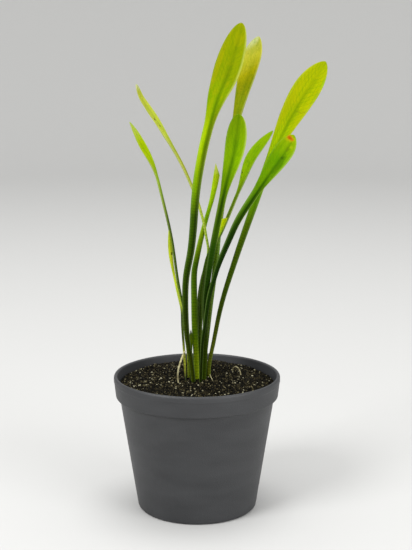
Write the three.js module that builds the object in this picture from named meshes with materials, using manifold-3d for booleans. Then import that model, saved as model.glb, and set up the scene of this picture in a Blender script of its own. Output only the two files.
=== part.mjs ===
// A potted dwarf sagittaria: a rosette of long-stalked, spoon-bladed leaves in dark sand, in a round pot.
// Millimetres, +Z up. The origin is the centre of the pot's flat underside, and the front is -Y.

import * as THREE from 'three';
import { mergeVertices } from 'three/addons/utils/BufferGeometryUtils.js';
import Module from 'manifold-3d';

const wasm = await Module();
wasm.setup();

// The clearance kept between pieces that touch, and the sides of the round pieces
const GAP = 0.32;
const SEGMENTS = 40;

// Pot: a moulded tub with a thicker band round its mouth
const POT_HEIGHT = 50;
const POT_FOOT_RADIUS = 22;
const POT_SHOULDER_RADIUS = 28.4;
const POT_RIM_RADIUS = 30.5;
const POT_RIM_BAND = 8;
const POT_WALL = 1.3;
const POT_FLOOR = 1.8;
const POT_EDGE = 0.7;
const DRAIN_COUNT = 6;
const DRAIN_RADIUS = 1.75;
const DRAIN_CIRCLE_RADIUS = 14;

// Sand: its surface lies just under the rim, with a low heap behind the plant
const SAND_LEVEL = 47;
const SAND_RINGS = 5;
const HEAP_HEIGHT = 4.2;
const HEAP_CENTRE = [1, 13];
const HEAP_SPREAD = 13;
const FRONT_FALL = 0.03;

// Rootstock: a short lump just under the surface, in the plant's frame
const ROOTSTOCK_CENTRE = [-0.1, 0, -4.2];
const ROOTSTOCK_RADII = [5.6, 4, 3];

// Leaves and roots
const LEAF_SIDES = 8;
const STALK_STEP = 7;
const BLADE_STATIONS = 12;
const STALK_ROUNDNESS = 0.8;
const BLADE_THICKNESS = 0.6;
const ROOT_SIDES = 6;
const ROOT_STATIONS = 8;

// Each leaf follows its course from the rootstock to its tip, as points from the sand's surface at the crown.
// stalk: its width at the foot, halfway and at the neck.
// blade: its length, its width, where along it that width falls, how blunt the tip is (a half ellipse at 0.5,
// pointed above) and how far its edges rise from its middle.
// turn: how far its face turns from the front towards +X, in degrees, at the neck and at the tip.
// cut: a point on the plane where the leaf ends, and the way back towards the rest of it.
const LEAVES = [
  {
    name: 'leaf_tall_front',
    course: [[-1.3, -2.4, -3], [-1.4, -2.5, 1.5], [-2.2, -2.8, 9], [-3.5, -3.3, 17.5], [-4.1, -3.8, 28],
      [-3.9, -4.4, 39], [-2, -5.4, 50.2], [-1.2, -6.2, 58], [-0.6, -7.1, 67], [0.3, -7.8, 75],
      [2.3, -9.2, 86], [4.4, -10.3, 94.7], [6.9, -11.5, 103.7], [9.7, -12.2, 111], [15.4, -13.5, 128.8]],
    stalk: [1.6, 2.45, 3.4],
    blade: { length: 38, width: 9.1, widest: 0.6, blunt: 0.56, lift: 0.12 },
    turn: [0, 0],
    colour: 0x99a801,
  },
  {
    name: 'leaf_pale_back',
    course: [[2.6, 2.3, -3], [2.9, 3, 8.5], [3.8, 4, 17.5], [4.9, 4.8, 27.5], [6.9, 6, 43.5], [8.2, 7.1, 58],
      [11.2, 8.8, 77], [14.7, 10.6, 97], [18.5, 11.5, 112], [22.3, 12.5, 124.7]],
    stalk: [1.6, 2.1, 2.6],
    blade: { length: 36, width: 7.8, widest: 0.76, blunt: 0.68, lift: 0.15 },
    turn: [-30, -35],
    colour: 0xa6a40b,
  },
  {
    name: 'leaf_centre_front',
    course: [[2.5, -0.9, -3], [2.65, -1, 3], [2.95, -1.1, 9.5], [3.1, -1.2, 16], [3.05, -1.3, 23],
      [3.1, -1.5, 30], [3.3, -1.75, 33.5], [4, -2.45, 39.3], [5.05, -3.5, 46.8], [7.75, -4.4, 61],
      [10.1, -5.2, 72.5], [13.2, -6.3, 85.5], [14.7, -7.2, 98]],
    stalk: [1.6, 2.05, 2.55],
    blade: { length: 31.5, width: 7.25, widest: 0.71, blunt: 0.48, lift: 0.15 },
    turn: [0, 6],
    colour: 0x86ac01,
  },
  {
    name: 'leaf_slim_right',
    course: [[0.9, 1.4, -3], [0.9, 1.6, 9], [1.4, 2.2, 24], [1.7, 2.7, 33.5], [2.5, 3.1, 39.5],
      [4.3, 3.6, 46.7], [7.4, 4.1, 52.2], [9.3, 4.5, 56], [15, 5.9, 69.5], [20.1, 7.6, 82],
      [27.5, 9.4, 91.2]],
    stalk: [1.3, 1.5, 1.35],
    blade: { length: 27, width: 4.9, widest: 0.55, blunt: 0.66, lift: 0.2 },
    turn: [-40, -48],
    colour: 0x89b403,
  },
  {
    name: 'leaf_broad_right',
    course: [[4.4, 0.8, -3], [4.5, 0.9, 6], [6.15, 1.1, 15], [9, 1.3, 29], [14, 1.6, 45.5], [20.6, 2.2, 65],
      [26.3, 2.7, 81.5], [31.8, 3.2, 93.7], [34.7, 3.4, 99.1], [38.3, 3.7, 105.2], [45.6, 4.2, 115.9]],
    stalk: [1.3, 1.95, 3.1],
    blade: { length: 43, width: 9.65, widest: 0.71, blunt: 0.65, lift: 0.1 },
    turn: [-10, 0],
    colour: 0xafbd01,
  },
  {
    name: 'leaf_folded_right',
    course: [[1.3, -2.9, -3], [1.35, -2.9, 3], [1.6, -3.05, 9.5], [2, -3.2, 16], [2.95, -3.45, 22.5],
      [4, -3.6, 30.5], [4.85, -3.55, 34.5], [6.15, -3.35, 39], [7.7, -3.1, 44], [11.4, -3.15, 53],
      [14.7, -4, 60.5], [21.5, -5.5, 71.6], [29.3, -7.1, 84], [33.8, -8, 90.9]],
    stalk: [0.9, 1.65, 2.8],
    blade: { length: 26, width: 7.2, widest: 0.74, blunt: 0.6, lift: 0.3 },
    turn: [0, 12],
    colour: 0x78ac04,
  },
  {
    name: 'leaf_curved_left',
    course: [[-3, 0.9, -3], [-3.2, 1, 8.5], [-4, 1.2, 16.5], [-5.2, 1.6, 27.5], [-7, 1.8, 38],
      [-9.1, 1.6, 53], [-12, 0.4, 66.5], [-15.2, -2, 79], [-19.5, -4.2, 87.5], [-23.2, -6.4, 95.2]],
    stalk: [1.1, 1.1, 1.2],
    blade: { length: 23, width: 3.6, widest: 0.57, blunt: 0.83, lift: 0.2 },
    turn: [55, 60],
    colour: 0x9cbd0e,
  },
  {
    name: 'leaf_thin_left',
    course: [[0.7, 3, -3], [0.7, 3.3, 9], [0.5, 3.8, 22], [0.5, 4.4, 30], [1.5, 5, 36.7], [3.8, 5.3, 45.5],
      [4.1, 4.9, 48.8], [3.4, 3.8, 53.3], [2.6, 2.8, 58], [1.4, 2.6, 62.8], [0.2, 2.7, 66.6],
      [-4.9, 5, 78.5], [-12.2, 8, 91], [-18, 10, 99.5], [-20.4, 11, 103.3], [-21.9, 12, 107.7]],
    stalk: [1, 1, 1.5],
    blade: { length: 28, width: 4.2, widest: 0.57, blunt: 0.44, lift: 0.2 },
    turn: [60, 62],
    colour: 0xb8bf54,
  },
  {
    name: 'leaf_torn_centre',
    course: [[0, -0.4, -3], [-0.3, -0.2, 9.5], [-0.8, 0.3, 20], [-1, 1.4, 30.5], [-0.95, 2.6, 40.5],
      [0, 3.4, 45.7], [1.3, 4.3, 51.7], [2.6, 4.9, 56.9], [5.6, 6.1, 67.5], [7.8, 7.1, 79.5],
      [8.3, 7.4, 83.6]],
    stalk: [1.7, 2.25, 1.5],
    blade: { length: 22, width: 2.3, widest: 0.66, blunt: 0.6, lift: 0.2 },
    turn: [0, 0],
    // The tear runs down to the right from this point of the left edge
    cut: { at: [6.9, 7.1, 79.6], towards: [-0.95, 0, -0.31] },
    colour: 0x93b90c,
  },
  {
    name: 'leaf_cut_stub',
    course: [[2.8, 0.85, -3], [3.2, 1.3, 21], [4, 1, 36], [5.6, 0.2, 47.5], [7.2, -0.4, 53],
      [10.6, -0.9, 62.5]],
    stalk: [0.9, 0.9, 1],
    blade: { length: 10, width: 2, widest: 0.75, blunt: 0.6, lift: 0.2 },
    turn: [0, 0],
    cut: { at: [9.9, -0.8, 60.7], towards: [0.25, 0, -0.97] },
    colour: 0x97aa0c,
  },
  {
    name: 'leaf_narrow_left',
    course: [[-4.3, -0.5, -3], [-4.4, -0.6, 6], [-4.8, -0.7, 13], [-5.35, -0.8, 21.5], [-5.5, -0.9, 27],
      [-6.4, -1, 31.5], [-7.4, -1.2, 36], [-9.2, -1.6, 46.5], [-10, -2, 56.5]],
    stalk: [0.9, 1, 1],
    blade: { length: 18, width: 1.5, widest: 0.6, blunt: 0.7, lift: 0.2 },
    turn: [-50, 30],
    colour: 0xa2ac20,
  },
  {
    name: 'leaf_new_shoot',
    course: [[-1.8, -0.4, -3], [-2, -0.5, 4], [-2.2, -0.7, 11], [-2.2, -1, 20]],
    stalk: [0.8, 0.9, 1],
    blade: { length: 9, width: 1.3, widest: 0.5, blunt: 1, lift: 0 },
    turn: [0, 0],
    colour: 0x6f9a08,
  },
];

// Each root is a thin bent thread with a width at its start and at its end
const ROOTS = [
  {
    name: 'root_left',
    course: [[-4.4, -1.9, 12], [-5.7, -2.2, 9], [-6.9, -2.6, 4.6], [-7, -2.8, 1.8], [-6.4, -3, -1.6]],
    width: [0.7, 0.55],
  },
  {
    name: 'root_right',
    course: [[4.7, -0.3, 2.8], [5.3, -0.9, 1.6], [5.9, -1.5, 0.2], [6.2, -1.8, -1.6]],
    width: [0.35, 0.3],
  },
  {
    name: 'root_loop',
    course: [[13.2, 9, -0.6], [13.5, 9.3, 2.6], [14.6, 8.6, 3.3], [15.9, 7, 2.2], [16.6, 6, -1]],
    width: [0.45, 0.4],
  },
];

const COLOURS = {
  pot: 0x26272a,
  sand: 0x2f2b22,
  rootstock: 0x8f8a62,
  root: 0xbeb996,
};

function material(colour, roughness) {
  return new THREE.MeshStandardMaterial({ color: colour, roughness, metalness: 0 });
}

function mix(from, to, share) {
  return from + (to - from) * share;
}

function ease(value) {
  const share = Math.min(Math.max(value, 0), 1);
  return share * share * (3 - 2 * share);
}

// A closed skin over rings that run right-handed about a path, closed at the path's two ends. Both ends are
// pushed out by the growth.
function skin(rings, path, grow) {
  const start = path.getPointAt(0);
  const end = path.getPointAt(1);
  const startPush = path.getTangentAt(0).multiplyScalar(-grow);
  const endPush = path.getTangentAt(1).multiplyScalar(grow);
  for (const point of [start, ...rings[0]]) point.add(startPush);
  for (const point of [end, ...rings.at(-1)]) point.add(endPush);
  const sides = rings[0].length;
  const points = [start, ...rings.flat(), end];
  const lastRing = 1 + (rings.length - 1) * sides;
  const index = [];
  for (let side = 0; side < sides; side += 1) {
    const next = (side + 1) % sides;
    index.push(0, 1 + next, 1 + side);
    for (let low = 1; low < lastRing; low += sides) {
      const high = low + sides;
      index.push(low + side, low + next, high + next);
      index.push(low + side, high + next, high + side);
    }
    index.push(lastRing + side, lastRing + next, points.length - 1);
  }
  const geometry = new THREE.BufferGeometry().setFromPoints(points);
  geometry.setIndex(index);
  return geometry;
}

function toSolid(geometry) {
  const bare = geometry.clone();
  bare.deleteAttribute('normal');
  bare.deleteAttribute('uv');
  const merged = mergeVertices(bare);
  return new wasm.Manifold(new wasm.Mesh({
    numProp: 3,
    vertProperties: new Float32Array(merged.attributes.position.array),
    triVerts: new Uint32Array(merged.index.array),
  }));
}

// The largest body of a cut solid, without the crumbs between two cuts
function toGeometry(solid) {
  const bodies = solid.decompose();
  const largest = bodies.reduce((best, body) => (body.volume() > best.volume() ? body : best));
  const { vertProperties, triVerts } = largest.getMesh();
  const geometry = new THREE.BufferGeometry();
  geometry.setAttribute('position', new THREE.BufferAttribute(vertProperties, 3));
  geometry.setIndex(new THREE.BufferAttribute(triVerts, 1));
  geometry.computeVertexNormals();
  return geometry;
}

// The stalk's width at a share of its length, a smooth curve through its three widths
function stalkWidth([foot, middle, neck], share) {
  const bend = 2 * middle - (foot + neck) / 2;
  return foot * (1 - share) ** 2 + 2 * bend * share * (1 - share) + neck * share ** 2;
}

function bladeWidth({ width, widest, blunt }, neck, share) {
  if (share < widest) return mix(neck, width, ease(share / widest));
  return width * (1 - ((share - widest) / (1 - widest)) ** 2) ** blunt;
}

// A leaf as a lofted solid, grown by a clearance on all sides where it serves as a cutter
function leafSolid({ course, stalk, blade, turn, cut }, grow = 0) {
  const path = new THREE.CatmullRomCurve3(course.map((point) => new THREE.Vector3(...point)));
  path.arcLengthDivisions = 400;
  const neckAt = 1 - blade.length / path.getLength();
  const stalkStations = Math.ceil((path.getLength() - blade.length) / STALK_STEP);
  const stations = [];
  for (let i = 0; i < stalkStations; i += 1) {
    const share = i / stalkStations;
    stations.push({ at: neckAt * share, share: 0, width: stalkWidth(stalk, share) });
  }
  for (let i = 0; i < BLADE_STATIONS; i += 1) {
    const share = 1 - (1 - i / BLADE_STATIONS) ** 1.5;
    stations.push({ at: mix(neckAt, 1, share), share, width: bladeWidth(blade, stalk[2], share) });
  }
  const rings = stations.map(({ at, share, width }) => {
    const centre = path.getPointAt(at);
    const along = path.getTangentAt(at);
    const angle = THREE.MathUtils.degToRad(mix(turn[0], turn[1], share));
    const face = new THREE.Vector3(Math.sin(angle), -Math.cos(angle), 0);
    face.addScaledVector(along, -face.dot(along)).normalize();
    const across = new THREE.Vector3().crossVectors(along, face);
    const flatness = ease(2 * share);
    const depth = mix(width * STALK_ROUNDNESS, BLADE_THICKNESS, flatness) / 2 + grow;
    const reach = width / 2 + grow;
    const ring = [];
    for (let side = 0; side < LEAF_SIDES; side += 1) {
      const round = (side / LEAF_SIDES) * Math.PI * 2;
      const outward = Math.sin(round);
      const rise = depth * Math.cos(round) + blade.lift * flatness * reach * outward ** 2;
      ring.push(centre.clone().addScaledVector(across, reach * outward).addScaledVector(face, rise));
    }
    return ring;
  });
  const solid = toSolid(skin(rings, path, grow));
  if (!cut) return solid;
  const towards = new THREE.Vector3(...cut.towards).normalize();
  return solid.trimByPlane(towards.toArray(), towards.dot(new THREE.Vector3(...cut.at)));
}

function rootSolid({ course, width }, grow = 0) {
  const path = new THREE.CatmullRomCurve3(course.map((point) => new THREE.Vector3(...point)));
  const rings = [];
  for (let i = 0; i <= ROOT_STATIONS; i += 1) {
    const at = i / ROOT_STATIONS;
    const centre = path.getPointAt(at);
    const along = path.getTangentAt(at);
    const across = new THREE.Vector3(0, 1, 0).cross(along).normalize();
    const third = new THREE.Vector3().crossVectors(along, across);
    const reach = mix(width[0], width[1], at) / 2 + grow;
    const ring = [];
    for (let side = 0; side < ROOT_SIDES; side += 1) {
      const round = (side / ROOT_SIDES) * Math.PI * 2;
      const spoke = across.clone().multiplyScalar(Math.cos(round)).addScaledVector(third, Math.sin(round));
      ring.push(centre.clone().addScaledVector(spoke, reach));
    }
    rings.push(ring);
  }
  return toSolid(skin(rings, path, grow));
}

function rootstockSolid(grow = 0) {
  const lump = new THREE.SphereGeometry(1, 12, 8);
  lump.scale(...ROOTSTOCK_RADII.map((radius) => radius + grow));
  lump.translate(...ROOTSTOCK_CENTRE);
  return toSolid(lump);
}

// A turned solid about +Z from a profile of [radius, height] points
function turned(profile) {
  const geometry = new THREE.LatheGeometry(profile.map((point) => new THREE.Vector2(...point)), SEGMENTS);
  return geometry.rotateX(Math.PI / 2);
}

// The pot's inner face from its floor to its mouth, as [radius, height] points
function innerFace() {
  const shoulder = POT_HEIGHT - POT_RIM_BAND;
  const mouth = POT_RIM_RADIUS - POT_WALL;
  const wallAt = (height) => mix(POT_FOOT_RADIUS, POT_SHOULDER_RADIUS, height / shoulder) - POT_WALL;
  return [
    [wallAt(POT_FLOOR) - POT_EDGE, POT_FLOOR],
    [wallAt(POT_FLOOR + POT_EDGE), POT_FLOOR + POT_EDGE],
    [wallAt(shoulder), shoulder - POT_EDGE],
    [mouth - POT_EDGE, shoulder + 2 * POT_EDGE],
    [mouth, POT_HEIGHT - POT_EDGE / 2],
  ];
}

function potGeometry() {
  const shoulder = POT_HEIGHT - POT_RIM_BAND;
  const tub = turned([
    [0, 0],
    [POT_FOOT_RADIUS - POT_EDGE, 0],
    [POT_FOOT_RADIUS, POT_EDGE],
    [POT_SHOULDER_RADIUS, shoulder],
    [POT_RIM_RADIUS - 2 * POT_EDGE, shoulder],
    [POT_RIM_RADIUS - POT_EDGE, shoulder + POT_EDGE / 2],
    [POT_RIM_RADIUS, POT_HEIGHT - POT_EDGE],
    [POT_RIM_RADIUS - POT_EDGE / 2, POT_HEIGHT - POT_EDGE / 4],
    [POT_RIM_RADIUS - POT_EDGE, POT_HEIGHT],
    ...innerFace().reverse(),
    [0, POT_FLOOR],
  ]);
  let solid = toSolid(tub);
  for (let hole = 0; hole < DRAIN_COUNT; hole += 1) {
    const angle = (hole / DRAIN_COUNT) * Math.PI * 2;
    const drill = new THREE.CylinderGeometry(DRAIN_RADIUS, DRAIN_RADIUS, 3 * POT_FLOOR, 14);
    drill.rotateX(Math.PI / 2);
    drill.translate(DRAIN_CIRCLE_RADIUS * Math.cos(angle), DRAIN_CIRCLE_RADIUS * Math.sin(angle), 0);
    solid = solid.subtract(toSolid(drill));
  }
  return toGeometry(solid);
}

// How far the sand stands above its level at a place, in the plant's frame
function sandHeight(x, y) {
  const far = Math.hypot(x - HEAP_CENTRE[0], y - HEAP_CENTRE[1]) / HEAP_SPREAD;
  const ripple = 0.25 * Math.sin(x / 3.1 + 1) * Math.cos(y / 3.7);
  return HEAP_HEIGHT * Math.exp(-far * far) + Math.min(y, 0) * FRONT_FALL + ripple;
}

// The bed of sand in the plant's frame, with a socket for everything that stands in it
function sandGeometry(cutters) {
  const wall = innerFace().slice(0, -1).map(([radius, height]) => [radius - GAP, height + GAP - SAND_LEVEL]);
  const topRadius = wall.at(-1)[0];
  const profile = [[0, wall[0][1]], ...wall];
  for (let ring = SAND_RINGS; ring >= 0; ring -= 1) profile.push([topRadius * (ring / SAND_RINGS), 0]);
  const bed = turned(profile);
  const { position } = bed.attributes;
  for (let i = 0; i < position.count; i += 1) {
    if (position.getZ(i) > -GAP) position.setZ(i, sandHeight(position.getX(i), position.getY(i)));
  }
  return toGeometry(cutters.reduce((rest, cutter) => rest.subtract(cutter), toSolid(bed)));
}

function named(name, geometry, look) {
  const mesh = new THREE.Mesh(geometry, look);
  mesh.name = name;
  return mesh;
}

const leafCutters = LEAVES.map((leaf) => leafSolid(leaf, GAP));
const rootCutters = ROOTS.map((root) => rootSolid(root, GAP));

const plant = new THREE.Group();
plant.position.z = SAND_LEVEL;
plant.add(named(
  'sand',
  sandGeometry([rootstockSolid(GAP), ...leafCutters, ...rootCutters]),
  material(COLOURS.sand, 0.95),
));
plant.add(named(
  'rootstock',
  toGeometry(leafCutters.reduce((rest, cutter) => rest.subtract(cutter), rootstockSolid())),
  material(COLOURS.rootstock, 0.8),
));
for (const leaf of LEAVES) {
  plant.add(named(leaf.name, toGeometry(leafSolid(leaf)), material(leaf.colour, 0.45)));
}
for (const root of ROOTS) {
  plant.add(named(root.name, toGeometry(rootSolid(root)), material(COLOURS.root, 0.6)));
}

const potted = new THREE.Group();
potted.add(named('pot', potGeometry(), material(COLOURS.pot, 0.5)));
potted.add(plant);

export default potted;
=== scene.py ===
# Dresses the potted dwarf sagittaria: its leaves, roots, sand and pot, with their materials, the light and
# the camera. Shapes are worked out in millimetres and scaled to metres as each mesh is made.
import math

import bmesh
import bpy
import numpy as np
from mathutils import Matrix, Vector, noise


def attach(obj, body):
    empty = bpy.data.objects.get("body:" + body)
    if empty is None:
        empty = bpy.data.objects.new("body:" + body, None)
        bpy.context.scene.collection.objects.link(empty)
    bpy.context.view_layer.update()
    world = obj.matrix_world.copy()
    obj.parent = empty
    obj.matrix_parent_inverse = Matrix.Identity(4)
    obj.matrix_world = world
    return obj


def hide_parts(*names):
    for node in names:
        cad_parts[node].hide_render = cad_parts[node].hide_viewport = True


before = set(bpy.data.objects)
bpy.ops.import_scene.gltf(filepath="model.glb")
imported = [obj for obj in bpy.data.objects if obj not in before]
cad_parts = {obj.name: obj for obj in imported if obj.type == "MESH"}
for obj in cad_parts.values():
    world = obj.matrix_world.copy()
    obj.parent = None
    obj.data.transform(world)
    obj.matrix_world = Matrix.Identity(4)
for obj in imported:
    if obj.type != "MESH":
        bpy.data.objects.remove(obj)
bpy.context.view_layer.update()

MM = 0.001
SAND_LEVEL = 47.0

# Pot, as in the solids
POT_HEIGHT = 50.0
POT_FOOT_RADIUS = 22.0
POT_SHOULDER_RADIUS = 28.4
POT_RIM_RADIUS = 30.5
POT_RIM_BAND = 8.0
POT_WALL = 1.3
POT_FLOOR = 1.8
POT_EDGE = 0.7
DRAIN_COUNT = 6
DRAIN_RADIUS = 1.75
DRAIN_CIRCLE_RADIUS = 14.0

# Pot's finer form: its foot ring, its rounded corners, and its rim with a bead and a bevelled lip. The bead's
# foot and top are measured down from the lip, and the bevel inwards and down.
FOOT_RING_WIDTH = 2.9
FOOT_RING_HEIGHT = 0.5
BEAD_RISE = 0.15
BEAD_FOOT = 2.6
BEAD_TOP = 2.2
LIP_BEVEL = (0.35, 0.6)
LIP_WIDTH = 0.9
CORNER_RADIUS = 0.5
CORNER_SHARE = 0.45
CORNER_STEPS = 5
POT_SEGMENTS = 160
DRILL_SEGMENTS = 32
DRILL_LENGTH = 8.0

# Sand, as in the solids
HEAP_HEIGHT = 4.2
HEAP_CENTRE = (1.0, 13.0)
HEAP_SPREAD = 13.0
FRONT_FALL = 0.03
RIPPLE_HEIGHT = 0.25
RIPPLE_SCALE = (3.1, 3.7)
RIPPLE_SHIFT = 1

# Bed under the loose grains, and the grains on it, in rows like a honeycomb's
BED_CLEARANCE = 0.3
BED_RINGS = 24
BED_SEGMENTS = 96
GRAIN_PITCH = 0.62
GRAIN_ROW_PITCH = 0.866 * GRAIN_PITCH
GRAIN_SHIFT = 0.2
GRAIN_SINK = 0.45
GRAIN_LIFT = (-0.05, 0.3)
GRAIN_SMALLEST = 0.27
GRAIN_GROWTH = 0.17
GRAIN_FINENESS = 1.5
GRAIN_LUMPS = (0.72, 1.18)
GRAIN_STRETCH = (0.75, 1.2)
GRAIN_EDGE_GAP = 0.55
GRAIN_SEED = 1844

# Leaves and roots
CURVE_STEPS = 40
TANGENT_REACH = 0.4
STALK_STEP = 1.0
BLADE_STATIONS = 56
TIP_CROWDING = 1.6
LEAF_SIDES = 36
STALK_ROUNDNESS = 0.8
BLADE_THICKNESS = 0.6
MIDRIB_DEPTH = 0.16
MIDRIB_HALF_WIDTH = 0.1
MIDRIB_FADES_AT = 0.6
ROOT_SIDES = 12
ROOT_STATIONS = 60
ROOT_KNOTS = 14
ROOT_KNOT_DEPTH = 0.16

# Camera, in metres: at the photo's eye, aimed lower and with a shorter lens so that the pot shows as well
EYE = (0.0033, -0.4159, 0.1655)
PITCH = math.radians(10.7)
SENSOR_WIDTH = 36
FOCAL_PIXELS = 1170
FRAME_HEIGHT_PIXELS = 550

# Floor: a flat disc that bends up at its rim, in metres and radians
FLOOR_START = 0.02
FLOOR_RADIUS = 1.2
FLOOR_RINGS = 7
FLOOR_BEND = 0.8
FLOOR_BEND_TURNS = (0.1, 1.4)
FLOOR_BEND_RINGS = 14
FLOOR_SIDES = 96

# Lights: each one's place, what it is aimed at, its size in metres and its power in watts
LIGHTS = {
    "key": ((-0.75, -0.7, 0.85), (0, 0, 0.11), 0.6, 11.5),
    "top": ((0.05, 0.1, 1.1), (0, 0, 0.1), 0.6, 4.5),
    "fill": ((0.85, -0.75, 0.4), (0, 0, 0.09), 0.8, 8),
}
WORLD_STRENGTH = 0.8

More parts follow.
